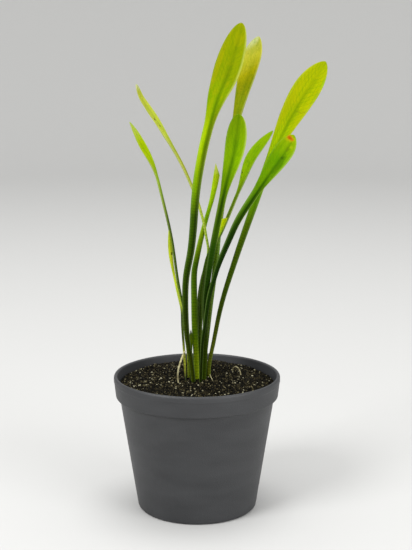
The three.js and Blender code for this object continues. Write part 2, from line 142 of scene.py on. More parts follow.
# Each leaf follows its course from the rootstock to its tip, as points from the sand's surface at the crown.
# Places along a leaf are shares, where 0 is its foot, 1 its neck and 2 its tip. Places across it run from -1
# at its left edge to 1 at its right one. Colours are screen colours of 0 to 255, strengths run from 0 to 1.
# stalk: its width at the foot, halfway and at the neck.
# blade: its length, its width, where along the blade that width falls, how blunt the tip is (a half ellipse
# at 0.5, pointed above) and how far its edges rise from its middle.
# turn: how far its face turns from the front towards +X, in degrees, at the neck and at the tip.
# cut: a point on the plane where the leaf ends, and the way back towards the rest of it.
# body: its colours at places along it; their darkening towards the foot is partly the stalks' own colour and
# partly painted shade.
# side: how bright its right side is painted beside its left, on the stalk and on the blade: painted shade
# below 1 and painted light above it.
# rib: the midrib's place across, its half width at the neck and beyond, its brightness at neck and tip.
# rim highlights: how far painted highlights lighten the stalk's left and right rims.
# edge: the colour of the blade's thin pale edge, partly its own paler rim and partly painted highlight, with
# its strength on the left and on the right.
# blush: the colour and strength of large soft patches. specks: the strength of small ones.
# skew: how far the colours of the body slant across the blade. veins: the strength of the blade's veins.
# marks: spots and stains, and on the folded leaf a patch of painted shade, each with its middle and its reach
# in mm across and along, its colour and strength.
LEAVES = [
    {
        "name": "leaf_tall_front",
        "slot": "leaf_yellow",
        "course": [
            (-1.3, -2.4, -3), (-1.4, -2.5, 1.5), (-2.2, -2.8, 9), (-3.5, -3.3, 17.5), (-4.1, -3.8, 28),
            (-3.9, -4.4, 39), (-2, -5.4, 50.2), (-1.2, -6.2, 58), (-0.6, -7.1, 67), (0.3, -7.8, 75),
            (2.3, -9.2, 86), (4.4, -10.3, 94.7), (6.9, -11.5, 103.7), (9.7, -12.2, 111), (15.4, -13.5, 128.8),
        ],
        "stalk": (1.6, 2.45, 3.4),
        "blade": {"length": 38, "width": 9.1, "widest": 0.6, "blunt": 0.56, "lift": 0.12},
        "turn": (0, 0),
        "body": [
            # The stalk's sharp step from dark to bright between 0.68 and 0.78 is painted light.
            (0.1, (58, 68, 1)), (0.3, (42, 60, 1)), (0.68, (58, 89, 1)), (0.78, (124, 163, 1)),
            (0.95, (177, 204, 1)), (1.25, (146, 176, 1)), (1.5, (144, 163, 1)), (1.9, (156, 166, 1)),
        ],
        "side": (0.3, 1),
        "rib": (0.14, (0.5, 0.26), (0.6, 0.86)),
        "rim_highlights": (0.3, 0.35),
        "edge": ((205, 212, 100), 0.05, 0.6),
        "blush": ((176, 172, 4), 0.4),
        "veins": 0.3,
        "marks": [
            ((-1.3, 106), (0.9, 2.2), (172, 168, 6), 0.3),
            ((-3.4, 119), (1.1, 10), (176, 168, 4), 0.4),
            ((0.9, 129), (2, 2.6), (164, 164, 4), 0.3),
        ],
    },
    {
        "name": "leaf_pale_back",
        "slot": "leaf_pale",
        "course": [
            (2.6, 2.3, -3), (2.9, 3, 8.5), (3.8, 4, 17.5), (4.9, 4.8, 27.5), (6.9, 6, 43.5), (8.2, 7.1, 58),
            (11.2, 8.8, 77), (14.7, 10.6, 97), (18.5, 11.5, 112), (22.3, 12.5, 124.7),
        ],
        "stalk": (1.6, 2.1, 2.6),
        "blade": {"length": 36, "width": 7.8, "widest": 0.76, "blunt": 0.68, "lift": 0.15},
        "turn": (-30, -35),
        "body": [
            (0.1, (61, 75, 12)), (0.35, (88, 113, 28)), (0.6, (106, 142, 27)), (1, (141, 161, 14)),
            (1.5, (137, 144, 1)), (1.62, (170, 164, 1)), (1.78, (197, 191, 49)), (1.9, (190, 186, 66)),
            (1.98, (202, 206, 138)),
        ],
        "side": (0.75, 0.98),
        "rib": (0.12, (0.4, 0.35), (0.93, 0.94)),
        "rim_highlights": (0.5, 0.5),
        "edge": ((204, 206, 120), 0.15, 0.4),
        "blush": ((172, 160, 8), 0.35),
        "skew": 0.1,
        "specks": 0.75,
        "veins": 0.2,
    },
    {
        "name": "leaf_centre_front",
        "slot": "leaf_green",
        "course": [
            (2.5, -0.9, -3), (2.65, -1, 3), (2.95, -1.1, 9.5), (3.1, -1.2, 16), (3.05, -1.3, 23),
            (3.1, -1.5, 30), (3.3, -1.75, 33.5), (4, -2.45, 39.3), (5.05, -3.5, 46.8), (7.75, -4.4, 61),
            (10.1, -5.2, 72.5), (13.2, -6.3, 85.5), (14.7, -7.2, 98),
        ],
        "stalk": (1.6, 2.05, 2.55),
        "blade": {"length": 31.5, "width": 7.25, "widest": 0.71, "blunt": 0.48, "lift": 0.15},
        "turn": (0, 6),
        "body": [
            (0.1, (56, 73, 1)), (0.45, (25, 48, 1)), (0.75, (35, 68, 1)), (1, (82, 114, 1)),
            (1.2, (111, 148, 1)), (1.5, (132, 173, 1)), (1.9, (126, 158, 1)),
        ],
        "side": (1, 1.1),
        "rib": (0.02, (0.72, 0.36), (0.33, 0.75)),
        "rim_highlights": (0.3, 0.12),
        "edge": ((196, 214, 100), 0.1, 0.6),
        "blush": ((112, 150, 2), 0.5),
        "veins": 0.35,
    },
    {
        "name": "leaf_slim_right",
        "slot": "leaf_green",
        "course": [
            (0.9, 1.4, -3), (0.9, 1.6, 9), (1.4, 2.2, 24), (1.7, 2.7, 33.5), (2.5, 3.1, 39.5),
            (4.3, 3.6, 46.7), (7.4, 4.1, 52.2), (9.3, 4.5, 56), (15, 5.9, 69.5), (20.1, 7.6, 82),
            (27.5, 9.4, 91.2),
        ],
        "stalk": (1.3, 1.5, 1.35),
        "blade": {"length": 27, "width": 4.9, "widest": 0.55, "blunt": 0.66, "lift": 0.2},
        "turn": (-40, -48),
        "body": [
            (0.15, (125, 157, 30)), (0.35, (63, 86, 12)), (0.7, (71, 102, 10)), (0.95, (117, 145, 23)),
            (1.25, (159, 195, 1)), (1.55, (146, 187, 1)), (1.9, (163, 199, 1)),
        ],
        "side": (0.6, 1),
        "rib": (0.14, (0.4, 0.3), (0.85, 0.92)),
        "rim_highlights": (0.9, 0.2),
        "edge": ((180, 200, 100), 0.5, 0.6),
        "blush": ((112, 160, 6), 0.5),
        "veins": 0.3,
        "marks": [
            ((-0.94, 82.4), (0.35, 0.5), (74, 80, 12), 0.8),
            ((-0.5, 80.6), (0.3, 0.4), (84, 88, 12), 0.7),
        ],
    },
    {
        "name": "leaf_broad_right",
        "slot": "leaf_yellow",
        "course": [
            (4.4, 0.8, -3), (4.5, 0.9, 6), (6.15, 1.1, 15), (9, 1.3, 29), (14, 1.6, 45.5), (20.6, 2.2, 65),
            (26.3, 2.7, 81.5), (31.8, 3.2, 93.7), (34.7, 3.4, 99.1), (38.3, 3.7, 105.2), (45.6, 4.2, 115.9),
        ],
        "stalk": (1.3, 1.95, 3.1),
        "blade": {"length": 43, "width": 9.65, "widest": 0.71, "blunt": 0.65, "lift": 0.1},
        "turn": (-10, 0),
        "body": [
            (0.1, (119, 127, 28)), (0.35, (56, 74, 5)), (0.75, (88, 117, 1)), (0.95, (124, 187, 1)),
            (1.15, (184, 211, 1)), (1.45, (162, 182, 1)), (1.9, (177, 185, 1)),
        ],
        "side": (0.6, 1.04),
        "rib": (0.1, (0.5, 0.22), (0.6, 0.86)),
        "rim_highlights": (0.4, 0.25),
        "edge": ((200, 208, 60), 0.3, 0.3),
        "blush": ((196, 190, 2), 0.5),
        "veins": 0.75,
        "marks": [
            ((-2.9, 108), (1.7, 14), (184, 186, 2), 0.55),
            ((3.1, 106), (1.5, 11), (188, 190, 2), 0.45),
            ((4, 122), (1, 4), (130, 182, 14), 0.6),
            ((1.0, 107.1), (0.8, 0.5), (124, 146, 6), 0.5),
            ((2.2, 107.3), (1.3, 0.3), (144, 140, 16), 0.45),
            ((3.5, 108), (1.1, 0.3), (144, 140, 16), 0.45),
        ],
    },
    {
        "name": "leaf_folded_right",
        "slot": "leaf_green",
        "course": [
            (1.3, -2.9, -3), (1.35, -2.9, 3), (1.6, -3.05, 9.5), (2, -3.2, 16), (2.95, -3.45, 22.5),
            (4, -3.6, 30.5), (4.85, -3.55, 34.5), (6.15, -3.35, 39), (7.7, -3.1, 44), (11.4, -3.15, 53),
            (14.7, -4, 60.5), (21.5, -5.5, 71.6), (29.3, -7.1, 84), (33.8, -8, 90.9),
        ],
        "stalk": (0.9, 1.65, 2.8),
        "blade": {"length": 26, "width": 7.2, "widest": 0.74, "blunt": 0.6, "lift": 0.3},
        "turn": (0, 12),
        "body": [
            (0.1, (28, 40, 1)), (0.4, (25, 50, 1)), (0.8, (27, 57, 1)), (1, (82, 124, 1)),
            (1.25, (109, 153, 1)), (1.6, (114, 166, 1)), (1.95, (163, 191, 5)),
        ],
        "side": (0.6, 0.95),
        # The midrib's darkening right of the middle is partly painted shade where the folded blade's right
        # half turns from the light.
        "rib": (0.2, (0.55, 0.34), (0.36, 0.8)),
        "rim_highlights": (0.45, 0.1),
        "edge": ((175, 200, 80), 0.12, 0.6),
        "blush": ((130, 162, 2), 0.5),
        "veins": 0.35,
        "marks": [
            ((-0.7, 100.1), (2.3, 1.5), (196, 186, 14), 0.6),
            ((-1.1, 100.3), (1.15, 0.85), (204, 124, 14), 0.9),
            ((0.1, 100.1), (0.95, 0.75), (204, 124, 14), 0.85),
            ((-0.5, 100.2), (0.95, 0.45), (186, 84, 12), 0.75),
            ((1.6, 97.7), (0.7, 0.7), (184, 200, 22), 0.45),
            ((0.9, 96.4), (0.6, 1.2), (104, 124, 8), 0.5),
            ((1.06, 92.8), (0.6, 0.7), (56, 82, 8), 0.7),
            # Painted shade on the folded blade's right half beside the midrib.
            ((1.5, 90), (1, 5.5), (72, 116, 2), 0.6),
        ],
    },
    {
        "name": "leaf_curved_left",
        "slot": "leaf_green",
        "course": [
            (-3, 0.9, -3), (-3.2, 1, 8.5), (-4, 1.2, 16.5), (-5.2, 1.6, 27.5), (-7, 1.8, 38), (-9.1, 1.6, 53),
            (-12, 0.4, 66.5), (-15.2, -2, 79), (-19.5, -4.2, 87.5), (-23.2, -6.4, 95.2),
        ],
        "stalk": (1.1, 1.1, 1.2),
        "blade": {"length": 23, "width": 3.6, "widest": 0.57, "blunt": 0.83, "lift": 0.2},
        "turn": (55, 60),
        "body": [
            (0.15, (196, 206, 62)), (0.23, (40, 51, 6)), (0.5, (72, 92, 16)), (0.8, (77, 94, 29)),
            (1, (148, 173, 45)), (1.3, (169, 192, 8)), (1.65, (180, 198, 1)), (1.95, (187, 202, 87)),
        ],
        "side": (1.2, 1.08),
        "rib": (0, (0.4, 0.3), (0.85, 0.92)),
        "rim_highlights": (0.35, 0.3),
        "edge": ((186, 198, 110), 0.45, 0.45),
        "blush": ((150, 176, 20), 0.4),
        "veins": 0.2,
    },
    {
        "name": "leaf_thin_left",
        "slot": "leaf_pale",
        "course": [
            (0.7, 3, -3), (0.7, 3.3, 9), (0.5, 3.8, 22), (0.5, 4.4, 30), (1.5, 5, 36.7), (3.8, 5.3, 45.5),
            (4.1, 4.9, 48.8), (3.4, 3.8, 53.3), (2.6, 2.8, 58), (1.4, 2.6, 62.8), (0.2, 2.7, 66.6),
            (-4.9, 5, 78.5), (-12.2, 8, 91), (-18, 10, 99.5), (-20.4, 11, 103.3), (-21.9, 12, 107.7),
        ],
        "stalk": (1, 1, 1.5),
        "blade": {"length": 28, "width": 4.2, "widest": 0.57, "blunt": 0.44, "lift": 0.2},
        "turn": (60, 62),
        "body": [
            (0.1, (77, 94, 23)), (0.42, (54, 72, 12)), (0.58, (174, 194, 66)), (0.72, (183, 195, 69)),
            (0.9, (158, 158, 50)), (1.25, (193, 203, 66)), (1.9, (186, 190, 62)), (1.98, (205, 208, 150)),
        ],
        "side": (1.4, 1.1),
        "rib": (0, (0.4, 0.3), (0.85, 0.92)),
        "rim_highlights": (0.4, 0.4),
        "edge": ((200, 205, 130), 0.4, 0.4),
        "blush": ((186, 186, 60), 0.5),
        "veins": 0.2,
        "marks": [
            ((-0.6, 104), (0.45, 0.7), (92, 76, 26), 0.9),
            ((-0.27, 101.1), (0.4, 0.6), (104, 88, 32), 0.85),
        ],
    },
    {
        "name": "leaf_torn_centre",
        "slot": "leaf_green",
        "course": [
            (0, -0.4, -3), (-0.3, -0.2, 9.5), (-0.8, 0.3, 20), (-1, 1.4, 30.5), (-0.95, 2.6, 40.5),
            (0, 3.4, 45.7), (1.3, 4.3, 51.7), (2.6, 4.9, 56.9), (5.6, 6.1, 67.5), (7.8, 7.1, 79.5),
            (8.3, 7.4, 83.6),
        ],
        "stalk": (1.7, 2.25, 1.5),
        "blade": {"length": 22, "width": 2.3, "widest": 0.66, "blunt": 0.6, "lift": 0.2},
        "turn": (0, 0),
        "cut": {"at": (6.9, 7.1, 79.6), "towards": (-0.95, 0, -0.31)},
        "body": [
            (0.1, (174, 195, 24)), (0.3, (101, 133, 1)), (0.7, (65, 96, 1)), (0.88, (133, 161, 4)),
            (1, (127, 172, 2)), (1.4, (185, 218, 5)), (1.62, (185, 206, 23)), (1.72, (200, 208, 87)),
        ],
        "side": (0.8, 0.6),
        "rib": (0, (0.4, 0.3), (0.9, 0.95)),
        "rim_highlights": (0.4, 0.2),
        "edge": ((190, 210, 90), 0.3, 0.3),
        "blush": ((150, 180, 16), 0.4),
        "veins": 0.25,
        "marks": [
            ((0.4, 86), (1.2, 1), (178, 184, 92), 0.7),
        ],
    },
    {
        "name": "leaf_cut_stub",
        "slot": "leaf_yellow",
        "course": [
            (2.8, 0.85, -3), (3.2, 1.3, 21), (4, 1, 36), (5.6, 0.2, 47.5), (7.2, -0.4, 53),
            (10.6, -0.9, 62.5),
        ],
        "stalk": (0.9, 0.9, 1),
        "blade": {"length": 10, "width": 2, "widest": 0.75, "blunt": 0.6, "lift": 0.2},
        "turn": (0, 0),
        "cut": {"at": (9.9, -0.8, 60.7), "towards": (0.25, 0, -0.97)},
        "body": [
            (0.3, (33, 53, 2)), (0.95, (57, 90, 16)), (1.2, (196, 240, 40)), (1.6, (226, 240, 12)),
        ],
        "side": (0.8, 0.85),
        "rib": (0, (0.4, 0.3), (1, 1)),
        "rim_highlights": (0.3, 0.3),
        "edge": ((210, 220, 90), 0.3, 0.3),
        "blush": ((190, 206, 12), 0.2),
        "veins": 0.2,
    },
    {
        "name": "leaf_narrow_left",
        "slot": "leaf_yellow",
        "course": [
            (-4.3, -0.5, -3), (-4.4, -0.6, 6), (-4.8, -0.7, 13), (-5.35, -0.8, 21.5), (-5.5, -0.9, 27),
            (-6.4, -1, 31.5), (-7.4, -1.2, 36), (-9.2, -1.6, 46.5), (-10, -2, 56.5),
        ],
        "stalk": (0.9, 1, 1),
        "blade": {"length": 18, "width": 1.5, "widest": 0.6, "blunt": 0.7, "lift": 0.2},
        "turn": (-50, 30),
        "body": [
            (0.11, (42, 39, 41)), (0.25, (231, 228, 79)), (0.46, (65, 77, 14)), (0.68, (68, 87, 23)),
            (0.77, (187, 201, 68)), (0.93, (220, 231, 50)), (1.5, (205, 215, 45)), (1.92, (185, 200, 49)),
        ],
        "side": (0.9, 0.55),
        "rib": (0, (0.4, 0.3), (0.92, 0.96)),
        "rim_highlights": (0.5, 0.4),
        "edge": ((190, 200, 90), 0.3, 0.3),
        "blush": ((180, 186, 40), 0.4),
        "veins": 0.2,
        "marks": [
            ((0.4, 51.5), (0.5, 0.7), (72, 84, 12), 0.85),
        ],
    },
    {
        "name": "leaf_new_shoot",
        "slot": "leaf_green",
        "course": [(-1.8, -0.4, -3), (-2, -0.5, 4), (-2.2, -0.7, 11), (-2.2, -1, 20)],
        "stalk": (0.8, 0.9, 1),
        "blade": {"length": 9, "width": 1.3, "widest": 0.5, "blunt": 1, "lift": 0},
        "turn": (0, 0),
        "body": [
            (0.3, (27, 26, 1)), (1, (54, 77, 2)), (1.5, (104, 130, 6)), (1.9, (74, 94, 16)),
        ],
        "side": (0.9, 0.9),
        "rib": (0, (0.4, 0.3), (0.9, 0.95)),
        "rim_highlights": (0.6, 0.4),
        "edge": ((120, 140, 40), 0.2, 0.2),
        "blush": ((84, 104, 14), 0.3),
        "veins": 0.2,
    },
]

# Each root is a thin bent thread with a width at its start and at its end
ROOTS = [
    {
        "name": "root_left",
        "course": [(-4.4, -1.9, 12), (-5.7, -2.2, 9), (-6.9, -2.6, 4.6), (-7, -2.8, 1.8), (-6.4, -3, -1.6)],
        "width": (0.7, 0.55),
    },
    {
        "name": "root_right",
        "course": [(4.7, -0.3, 2.8), (5.3, -0.9, 1.6), (5.9, -1.5, 0.2), (6.2, -1.8, -1.6)],
        "width": (0.35, 0.3),
    },
    {
        "name": "root_loop",
        "course": [(13.2, 9, -0.6), (13.5, 9.3, 2.6), (14.6, 8.6, 3.3), (15.9, 7, 2.2), (16.6, 6, -1)],
        "width": (0.45, 0.4),
    },
]


def mix(start, end, share):
    return start + (end - start) * share


def ease(value):
    share = min(max(value, 0), 1)
    return share * share * (3 - 2 * share)


def unit(vector):
    return vector / np.linalg.norm(vector)


def tint(red, green, blue):
    """A screen colour of 0 to 255 as a linear one with full alpha."""
    channels = (value / 255 for value in (red, green, blue))
    return tuple(c / 12.92 if c <= 0.04045 else ((c + 0.055) / 1.055) ** 2.4 for c in channels) + (1,)


# Materials


class Shader:
    """A new material's nodes, one call for each node."""

    def __init__(self, name):
        self.material = bpy.data.materials.new(name)
        self.material.use_nodes = True
        self.tree = self.material.node_tree
        self.tree.nodes.clear()

    def node(self, kind, inputs=None, **settings):
        made = self.tree.nodes.new("ShaderNode" + kind)
        for name, value in settings.items():
            setattr(made, name, value)
        for key, value in (inputs or {}).items():
            if isinstance(value, bpy.types.NodeSocket):
                self.tree.links.new(value, made.inputs[key])
            else:
                made.inputs[key].default_value = value
        return made

    def attribute(self, name):
        """The mesh's own vector of that name, with its first two parts."""
        vector = self.node("Attribute", attribute_name=name).outputs["Vector"]
        parts = self.node("SeparateXYZ", {0: vector})
        return vector, parts.outputs[0], parts.outputs[1]

    def math(self, operation, *values):
        return self.node("Math", dict(enumerate(values)), operation=operation).outputs[0]

    def ease(self, value, low, high):
        """0 up to low and 1 from high on, with a smooth step between them."""
        made = self.node("MapRange", {"Value": value, "From Min": low, "From Max": high})
        made.interpolation_type = "SMOOTHSTEP"
        return made.outputs["Result"]

    def product(self, *values):
        result = values[0]
        for value in values[1:]:
            result = self.math("MULTIPLY", result, value)
        return result

    def inverse(self, value):
        return self.math("SUBTRACT", 1.0, value)

    def between(self, share, low, high):
        """low where the share is 0 and high where it is 1."""
        return self.math("ADD", self.product(share, high - low), low)

    def stripes(self, value, pitch, width):
        """1 along the middle of lines that are a pitch apart, falling to 0 beside them."""
        wave = self.math("PINGPONG", self.math("DIVIDE", value, pitch), 0.5)
        return self.inverse(self.ease(wave, 0.0, width))

    def blend(self, share, first, second, mode="MIX"):
        made = self.node("Mix", {0: share, 6: first, 7: second}, data_type="RGBA", blend_type=mode)
        return made.outputs[2]

    def darken(self, share, colour, factors):
        return self.blend(share, colour, factors, "MULTIPLY")

    def vector(self, *parts):
        return self.node("CombineXYZ", dict(enumerate(parts))).outputs[0]

    def scaled(self, vector, factors):
        return self.node("VectorMath", {0: vector, 1: factors}, operation="MULTIPLY").outputs[0]

    def noise(self, vector, scale, detail=2.0, roughness=0.5):
        inputs = {"Vector": vector, "Scale": scale, "Detail": detail, "Roughness": roughness}
        return self.node("TexNoise", inputs).outputs["Fac"]

    def ramp(self, value, stops):
        """A colour ramp with a stop for each (place, colour), at least two."""
        made = self.node("ValToRGB", {0: value})
        elements = made.color_ramp.elements
        for (place, colour), element in zip(stops, elements):
            element.position = place
            element.color = colour
        for place, colour in stops[2:]:
            elements.new(place).color = colour
        return made.outputs["Color"]

    def bump(self, height, depth, strength=1.0):
        return self.node("Bump", {"Height": height, "Distance": depth, "Strength": strength}).outputs[0]

    def skin(self, colour, roughness, specular, normal=None):
        inputs = {"Base Color": colour, "Roughness": roughness, "Specular IOR Level": specular}
        if normal is not None:
            inputs["Normal"] = normal
        return self.node("BsdfPrincipled", inputs).outputs[0]

    def finish(self, surface):
        self.node("OutputMaterial", {"Surface": surface})
        return self.material


# What a leaf's colour is multiplied by where each of these lies, and the painted highlight that is added to
# it on the stalk's rims
MOTTLE = (0.84, 0.92, 0.8, 1)
SPECK = (0.7, 0.76, 0.55, 1)
VEIN = (0.6, 0.78, 0.55, 1)
STRAND = (0.74, 0.82, 0.72, 1)
RUNG = (0.5, 0.62, 0.45, 1)
RIM_LIGHT = (0.17, 0.26, 0.06, 1)

# Spacing: slanting veins and rungs in mm along the leaf, fine veins as a share of the leaf's half width.
# A slanting vein runs VEIN_SLANT mm up the blade on its way to the edge.
VEIN_PITCH = 1.9
VEIN_SLANT = 5.5
RUNG_PITCH = 1.1
FINE_VEIN_PITCH = 1 / 3.6
USUAL_SPECKS = 0.25
RIB_GREENNESS = 1.4


class LeafPlace:
    """Where a point of the leaf's skin lies, as values for the material's nodes."""

    def __init__(self, shader):
        _, self.across, self.along = shader.attribute("leaf_share")
        self.span, self.across_mm, self.along_mm = shader.attribute("leaf_span")
        self.off_middle = shader.math("ABSOLUTE", self.across)
        self.blade = shader.ease(self.along, 0.92, 1.2)
        self.stalk = shader.inverse(shader.ease(self.along, 0.55, 0.95))


def body_colour(shader, at, leaf, mottle):
    """The leaf's colours from foot to tip, darker towards the foot partly as painted shade, with soft
    mottling, blushing patches and small specks.
    """
    slant = shader.product(at.across, at.blade, leaf.get("skew", 0.0))
    place = shader.math("SUBTRACT", at.along, slant)
    stops = [(stop / 2, tint(*colour)) for stop, colour in leaf["body"]]
    colour = shader.ramp(shader.math("DIVIDE", place, 2.0), stops)
    colour = shader.darken(shader.ease(mottle, 0.42, 0.72), colour, MOTTLE)
    blush, strength = leaf["blush"]
    patches = shader.ease(shader.noise(shader.scaled(at.span, (0.4, 0.22, 1)), 1.3, 4.0, 0.6), 0.5, 0.68)
    colour = shader.blend(shader.product(patches, at.blade, strength), colour, tint(*blush))
    specks = shader.ease(shader.noise(shader.scaled(at.span, (1.6, 1.1, 1)), 1.0, 3.0, 0.65), 0.5, 0.66)
    return shader.darken(shader.product(specks, leaf.get("specks", USUAL_SPECKS)), colour, SPECK)


def add_midrib(shader, at, leaf, colour):
    """Darkens a band along the blade, more in red than in green."""
    middle, (neck_reach, blade_reach), (neck_shade, tip_shade) = leaf["rib"]
    distance = shader.math("ABSOLUTE", shader.math("SUBTRACT", at.across, middle))
    reach = shader.between(shader.ease(at.along, 1.0, 1.55), neck_reach, blade_reach)
    nearness = shader.inverse(shader.ease(shader.math("DIVIDE", distance, reach), 0.0, 1.0))
    depth = shader.inverse(shader.between(shader.ease(at.along, 1.0, 1.9), neck_shade, tip_shade))
    shade = shader.inverse(shader.product(nearness, shader.ease(at.along, 0.78, 0.94), depth))
    red_shade = shader.math("POWER", shade, RIB_GREENNESS)
    return shader.darken(1.0, colour, shader.vector(red_shade, shade, shade))


def vein_lines(shader, at):
    """Where the blade's veins lie: slanting ones off the midrib, and finer ones along the blade."""
    slant = shader.math("SUBTRACT", at.along_mm, shader.product(at.off_middle, VEIN_SLANT))
    slant = shader.math("ADD", slant, shader.product(shader.noise(at.span, 0.5, 2.0), 1.6))
    branches = shader.stripes(slant, VEIN_PITCH, 0.16)
    branches = shader.product(branches, shader.ease(at.off_middle, 0.04, 0.16))
    fine = shader.stripes(at.off_middle, FINE_VEIN_PITCH, 0.12)
    fine = shader.product(fine, shader.ease(at.off_middle, 0.1, 0.2), 0.8)
    return shader.product(shader.math("MAXIMUM", branches, fine), at.blade)


def rung_lines(shader, at):
    """Where the stalk's cross walls show through its skin."""
    wander = shader.noise(shader.scaled(at.span, (0.4, 0.5, 1)), 1.0, 1.0)
    return shader.product(shader.stripes(shader.math("ADD", at.along_mm, wander), RUNG_PITCH, 0.32), at.stalk)


def shade_side(shader, at, leaf, colour):
    """Paints shade on the leaf's right side, or painted light where its amount is above 1."""
    stalk_side, blade_side = leaf["side"]
    amount = shader.between(shader.ease(at.along, 0.88, 1.4), stalk_side, blade_side)
    share = shader.ease(at.across, -0.35, 0.6)
    factor = shader.math("ADD", 1.0, shader.product(share, shader.math("SUBTRACT", amount, 1.0)))
    return shader.darken(1.0, colour, shader.vector(factor, factor, factor))


# Paints highlights along the stalk's left and right rims, fading out on the blade.
def paint_rim_highlights(shader, at, leaf, colour):
    left, right = leaf["rim_highlights"]
    left_share = shader.product(shader.inverse(shader.ease(at.across, -0.88, -0.4)), left)
    right_share = shader.product(shader.ease(at.across, 0.4, 0.88), right)
    share = shader.product(shader.math("ADD", left_share, right_share), shader.inverse(at.blade))
    return shader.blend(share, colour, RIM_LIGHT, "ADD")


def add_marks(shader, at, leaf, colour):
    """Lays the leaf's spots, stains and patches of painted shade, with ragged outlines, over its colour."""
    for middle, size, mark_colour, strength in leaf.get("marks", ()):
        offsets = []
        for value, centre, reach in zip((at.across_mm, at.along_mm), middle, size):
            offsets.append(shader.math("DIVIDE", shader.math("SUBTRACT", value, centre), reach))
        far = shader.node("VectorMath", {0: shader.vector(*offsets)}, operation="LENGTH").outputs["Value"]
        ragged = shader.noise(shader.vector(at.across_mm, at.along_mm), 1.6, 3.0)
        far = shader.math("ADD", far, shader.product(shader.math("SUBTRACT", ragged, 0.5), 1.3))
        share = shader.product(shader.inverse(shader.ease(far, 0.55, 1.05)), strength)
        colour = shader.blend(share, colour, tint(*mark_colour))
    return colour


# Paints the blade's thin pale edge, partly its own paler rim and partly painted highlight.
def add_edge(shader, at, leaf, colour):
    edge_colour, left, right = leaf["edge"]
    strength = shader.between(shader.ease(at.across, -0.1, 0.1), left, right)
    near_edge = shader.ease(at.off_middle, 0.78, 0.95)
    share = shader.product(near_edge, shader.ease(at.along, 0.72, 0.92), strength)
    return shader.blend(share, colour, tint(*edge_colour))


def leaf_material(leaf):
    """The leaf's colours, painted shade and highlights among them, with some of the light passing through."""
    shader = Shader(leaf["name"])
    at = LeafPlace(shader)
    mottle = shader.noise(shader.scaled(at.span, (0.55, 0.17, 1)), 1.0, 3.0)
    strands = shader.noise(shader.scaled(at.span, (4.5, 0.08, 1)), 1.0, 2.0)
    veins = vein_lines(shader, at)
    rungs = rung_lines(shader, at)

    colour = body_colour(shader, at, leaf, mottle)
    colour = add_midrib(shader, at, leaf, colour)
    colour = shader.darken(shader.product(veins, leaf["veins"]), colour, VEIN)
    colour = shade_side(shader, at, leaf, colour)
    colour = shader.darken(shader.product(shader.ease(strands, 0.4, 0.7), 0.6), colour, STRAND)
    colour = shader.darken(shader.product(rungs, 0.65), colour, RUNG)
    colour = paint_rim_highlights(shader, at, leaf, colour)
    colour = add_marks(shader, at, leaf, colour)
    colour = add_edge(shader, at, leaf, colour)

    heights = shader.math("ADD", shader.product(strands, 0.35), shader.product(veins, -0.5))
    heights = shader.math("ADD", heights, shader.product(rungs, -0.5))
    heights = shader.math("ADD", heights, shader.product(shader.noise(at.span, 3.5, 3.0), 0.25))
    normal = shader.bump(heights, 0.00012, 0.7)
    roughness = shader.math("ADD", 0.42, shader.product(mottle, 0.16))
    skin = shader.skin(colour, roughness, 0.03, normal)
    glow = shader.node("BsdfTranslucent", {"Color": colour, "Normal": normal}).outputs[0]
    return shader.finish(shader.node("MixShader", {0: 0.28, 1: skin, 2: glow}).outputs[0])


def object_point(shader):
    """The point's place on the object in millimetres."""
    return shader.scaled(shader.node("TexCoord").outputs["Object"], (1 / MM, 1 / MM, 1 / MM))


def root_material():
    """A beige skin in soft patches, paler from a few millimetres above the sand upwards."""
    shader = Shader("root_skin")
    point = object_point(shader)
    stops = [(0.3, tint(92, 84, 54)), (0.5, tint(142, 134, 98)), (0.7, tint(178, 171, 134))]
    colour = shader.ramp(shader.noise(point, 0.9, 3.0), stops)
    fine = shader.noise(point, 6.0, 3.0)
    colour = shader.darken(shader.ease(fine, 0.5, 0.8), colour, (0.78, 0.75, 0.66, 1))
    height = shader.node("SeparateXYZ", {0: point}).outputs[2]
    # The root's colour is made paler from a few millimetres above the sand upwards.
    higher_up = shader.ease(height, SAND_LEVEL + 4, SAND_LEVEL + 9)
    colour = shader.blend(higher_up, colour, shader.darken(1.0, colour, (1.7, 1.75, 1.7, 1)))
    return shader.finish(shader.skin(colour, 0.6, 0.3, shader.bump(fine, 0.0001)))


def rootstock_material():
    shader = Shader("rootstock_skin")
    point = object_point(shader)
    rings = shader.noise(shader.scaled(point, (0.4, 0.4, 2.4)), 1.0, 3.0)
    colour = shader.ramp(rings, [(0.35, tint(84, 78, 44)), (0.6, tint(150, 144, 100))])
    return shader.finish(shader.skin(colour, 0.75, 0.5, shader.bump(rings, 0.0003)))


def bed_material():
    """Dark cells of a grain's size, which show only between the loose grains."""
    shader = Shader("sand_bed")
    cells = shader.node("TexVoronoi", {"Vector": object_point(shader), "Scale": 1.4})
    seed = shader.node("SeparateColor", {0: cells.outputs["Color"]}).outputs[0]
    stops = [
        (0.0, tint(14, 14, 11)), (0.55, tint(26, 24, 17)), (0.82, tint(44, 37, 22)), (0.97, tint(80, 74, 52)),
    ]
    colour = shader.ramp(seed, stops)
    return shader.finish(shader.skin(colour, 0.85, 0.1, shader.bump(cells.outputs["Distance"], 0.0004)))


def grain_material():
    """Mostly near-black grains with brown, amber and a few pale ones; the pale ones are partly the sand's own
    and partly painted glints.
    """
    shader = Shader("sand_grains")
    _, seed, polish = shader.attribute("grain")
    stops = [
        (0.0, tint(9, 9, 7)), (0.42, tint(17, 16, 11)), (0.66, tint(29, 26, 17)), (0.8, tint(47, 42, 27)),
        (0.91, tint(68, 62, 42)), (0.97, tint(104, 98, 72)), (1.0, tint(176, 172, 146)),
    ]
    colour = shader.ramp(seed, stops)
    grit = shader.noise(object_point(shader), 7.0, 3.0)
    colour = shader.darken(shader.ease(grit, 0.4, 0.75), colour, (0.7, 0.68, 0.62, 1))
    roughness = shader.math("ADD", 0.35, shader.product(polish, 0.45))
    return shader.finish(shader.skin(colour, roughness, 0.04, shader.bump(grit, 0.00008)))


